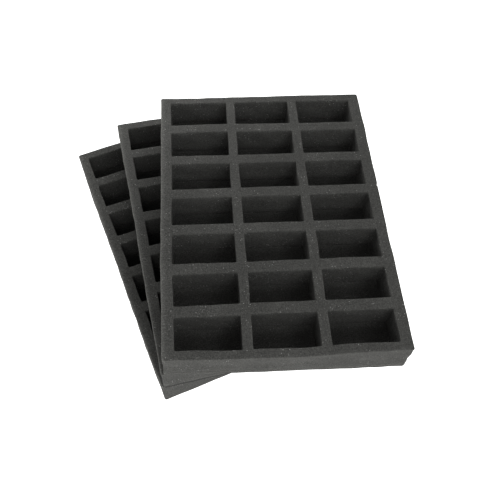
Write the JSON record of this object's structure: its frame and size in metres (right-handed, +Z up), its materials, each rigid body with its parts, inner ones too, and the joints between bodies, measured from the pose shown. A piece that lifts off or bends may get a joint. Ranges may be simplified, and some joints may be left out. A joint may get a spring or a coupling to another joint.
{
  "type": "foam storage tray set",
  "caption": "Stack of charcoal foam storage trays with rectangular pockets, fanned out about one corner.",
  "frame": {"origin": "on the surface that the set stands on, straight below the centre of the top tray; it lies on the underside of the bottom tray, inside its outline", "axes": "+Z up; +Y along the top tray's length, away from the corner that the trays are fanned about; +X across its width, away from that corner. The bottom tray is turned 19.6 degrees and the middle tray 9.8 degrees anticlockwise seen from above"},
  "size_m": [0.2777, 0.3088, 0.0954],
  "materials": {
    "charcoal_foam": "matte",
    "adhesive_film": "matte"
  },
  "bodies": {
    "bottom_tray": {"bottom_pocket_sheet": "charcoal_foam", "bottom_bond_film": "adhesive_film", "bottom_base_sheet": "charcoal_foam"},
    "middle_tray": {"middle_pocket_sheet": "charcoal_foam", "middle_bond_film": "adhesive_film", "middle_base_sheet": "charcoal_foam"},
    "top_tray": {"top_pocket_sheet": "charcoal_foam", "top_bond_film": "adhesive_film", "top_base_sheet": "charcoal_foam"}
  },
  "joints": [
    {"name": "middle_swivel", "type": "hinge", "parent": "bottom_tray", "child": "middle_tray", "pos_m": [-0.0985, -0.1395, 0.0318], "axis": [0, 0, -1], "range_deg": [-9.8, 20.2]},
    {"name": "top_swivel", "type": "hinge", "parent": "middle_tray", "child": "top_tray", "pos_m": [-0.0985, -0.1395, 0.0636], "axis": [0, 0, -1], "range_deg": [-9.8, 20.2]}
  ]
}
